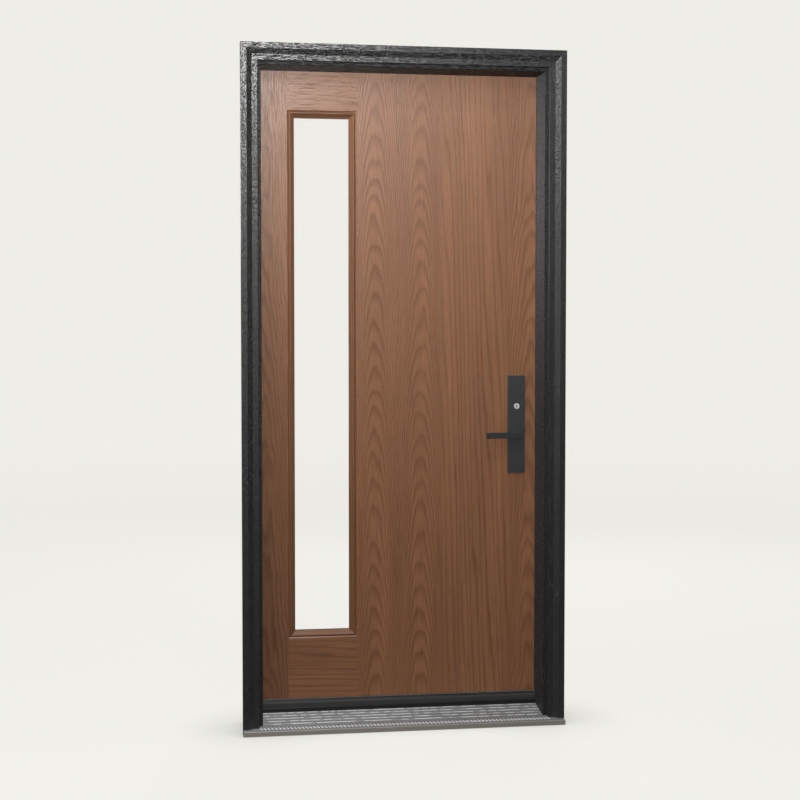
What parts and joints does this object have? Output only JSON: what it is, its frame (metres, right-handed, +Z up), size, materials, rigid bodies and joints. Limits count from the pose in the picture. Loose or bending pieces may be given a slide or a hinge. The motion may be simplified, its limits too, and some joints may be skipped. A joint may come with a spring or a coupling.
{
  "type": "fiberglass entrance door",
  "caption": "Inswing wood-grain fiberglass entrance door with one tall narrow clear lite, dark brickmould frame, aluminium sill and black lever lock",
  "frame": {"origin": "centre of the sill's underside, in the plane of the jambs' exterior edges", "axes": "+X along the sill from the hinge side to the lock side, +Y indoors, +Z up; the exterior faces -Y"},
  "size_m": [1.0146, 0.2661, 2.1168],
  "materials": {
    "sill_composite": "moulded composite",
    "deck_aluminium": "mill finish, fluted",
    "threshold_dark": "dark anodised",
    "cap_composite": "dark composite",
    "frame_charcoal": "charcoal with embossed grain",
    "seal": "soft foam seal",
    "strike_steel": "dark satin",
    "hinge_steel": "dark satin",
    "fiberglass": "brown stain over moulded wood grain",
    "stile_wood": "laminated, bare",
    "foam": "rigid foam",
    "lite_trim": "brown stain over moulded wood grain",
    "clear_glass": "clear float",
    "spacer": "dark spacer bar",
    "sweep_vinyl": "flexible vinyl",
    "hardware": "matt black",
    "cylinder": "satin nickel",
    "bolt_steel": "satin"
  },
  "bodies": {
    "frame": {"sill_base": "sill_composite", "sill_deck": "deck_aluminium", "threshold_riser": "threshold_dark", "threshold_cap": "cap_composite", "hinge_jamb": "frame_charcoal", "latch_jamb": "frame_charcoal", "head_jamb": "frame_charcoal", "brickmould_hinge": "frame_charcoal", "brickmould_latch": "frame_charcoal", "brickmould_head": "frame_charcoal", "weatherstrip_hinge": "seal", "weatherstrip_latch": "seal", "weatherstrip_head": "seal", "strike_plate": "strike_steel", "hinge_low_frame": "hinge_steel", "hinge_mid_frame": "hinge_steel", "hinge_top_frame": "hinge_steel"},
    "leaf": {"hinge_low_leaf": "hinge_steel", "hinge_mid_leaf": "hinge_steel", "hinge_top_leaf": "hinge_steel", "exterior_skin": "fiberglass", "interior_skin": "fiberglass", "hinge_stile": "stile_wood", "lock_stile": "stile_wood", "top_rail": "stile_wood", "bottom_rail": "stile_wood", "foam_core": "foam", "outside_lite_frame": "lite_trim", "inside_lite_frame": "lite_trim", "outside_glass": "clear_glass", "inside_glass": "clear_glass", "glass_spacer": "spacer", "door_sweep": "sweep_vinyl", "outside_plate": "hardware", "inside_plate": "hardware", "cylinder_housing": "cylinder", "thumbturn": "hardware", "lock_faceplate": "bolt_steel", "latch_bolt": "bolt_steel", "dead_bolt": "bolt_steel"},
    "levers": {"outside_lever": "hardware", "spindle": "bolt_steel", "inside_lever": "hardware"},
    "plug": {"key_plug": "cylinder"}
  },
  "joints": [
    {"name": "door_swing", "type": "hinge", "parent": "frame", "child": "leaf", "pos_m": [-0.4547, 0.1747, 0], "axis": [0, 0, 1], "range_deg": [0, 175]},
    {"name": "lever_turn", "type": "hinge", "parent": "leaf", "child": "levers", "pos_m": [0.3822, 0.1444, 0.9105], "axis": [0, -1, 0], "range_deg": [0, 45], "stiffness_Nm_per_rad": 0.6},
    {"name": "key_plug_turn", "type": "hinge", "parent": "leaf", "child": "plug", "pos_m": [0.3822, 0.11, 1.0025], "axis": [0, -1, 0], "range_deg": [-90, 90]}
  ]
}
